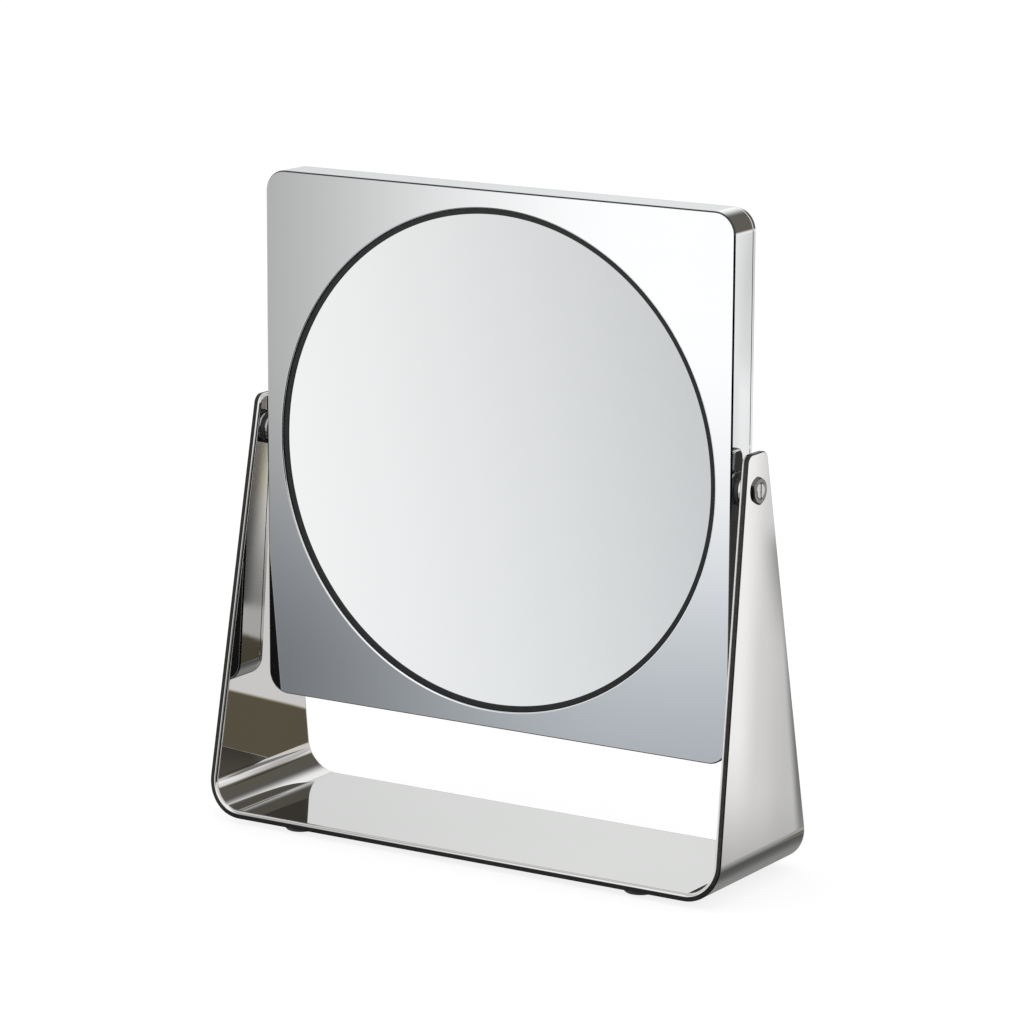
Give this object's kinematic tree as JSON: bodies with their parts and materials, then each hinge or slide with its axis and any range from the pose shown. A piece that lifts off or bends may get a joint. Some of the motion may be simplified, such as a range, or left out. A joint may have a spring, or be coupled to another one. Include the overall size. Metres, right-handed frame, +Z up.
{
  "type": "tilting stand mirror",
  "caption": "Free-standing square chrome mirror head with round mirror glasses on both faces, tilting full circle between the arms of a bent sheet-metal U stand.",
  "frame": {"origin": "on the floor under the middle of the stand (bottom centre of the bounding box)", "axes": "+Z up; +X to the right seen from the front, along the tilt axis; the magnifying front glass faces -Y"},
  "size_m": [0.1886, 0.056, 0.2092],
  "materials": {
    "polished_steel": "mirror-polished stainless steel, slightly warm",
    "chromed_plastic": "bright chrome plating, mirror-like, over moulded ABS plastic",
    "mirror_glass": "silvered glass",
    "hardware_steel": "bright nickel-plated steel",
    "black_nylon": "black nylon, satin",
    "black_gasket": "soft black moulding, satin",
    "foot_rubber": "black rubber, matte",
    "foam_pad": "white closed-cell foam tape",
    "core_plastic": "dark grey moulded ABS"
  },
  "bodies": {
    "stand": {"arm_washer_left": "black_nylon", "arm_washer_right": "black_nylon", "foot_front_left": "foot_rubber", "foot_front_right": "foot_rubber", "foot_rear_left": "foot_rubber", "foot_rear_right": "foot_rubber", "hex_nut_left": "hardware_steel", "hex_nut_right": "hardware_steel", "pivot_stud_left": "hardware_steel", "pivot_stud_right": "hardware_steel", "stand_bracket": "polished_steel", "thrust_washer_left": "black_nylon", "thrust_washer_right": "black_nylon"},
    "mirror_head": {"core_frame": "core_plastic", "core_screws": "hardware_steel", "front_gasket": "black_gasket", "front_glass": "mirror_glass", "front_pad": "foam_pad", "front_shell": "chromed_plastic", "pivot_bush_left": "black_nylon", "pivot_bush_right": "black_nylon", "rear_cover": "chromed_plastic", "rear_gasket": "black_gasket", "rear_glass": "mirror_glass", "rear_pad": "foam_pad"}
  },
  "joints": [
    {"name": "head_tilt", "type": "hinge", "parent": "stand", "child": "mirror_head", "pos_m": [0, 0, 0.1247], "axis": [1, 0, 0], "continuous": true}
  ]
}
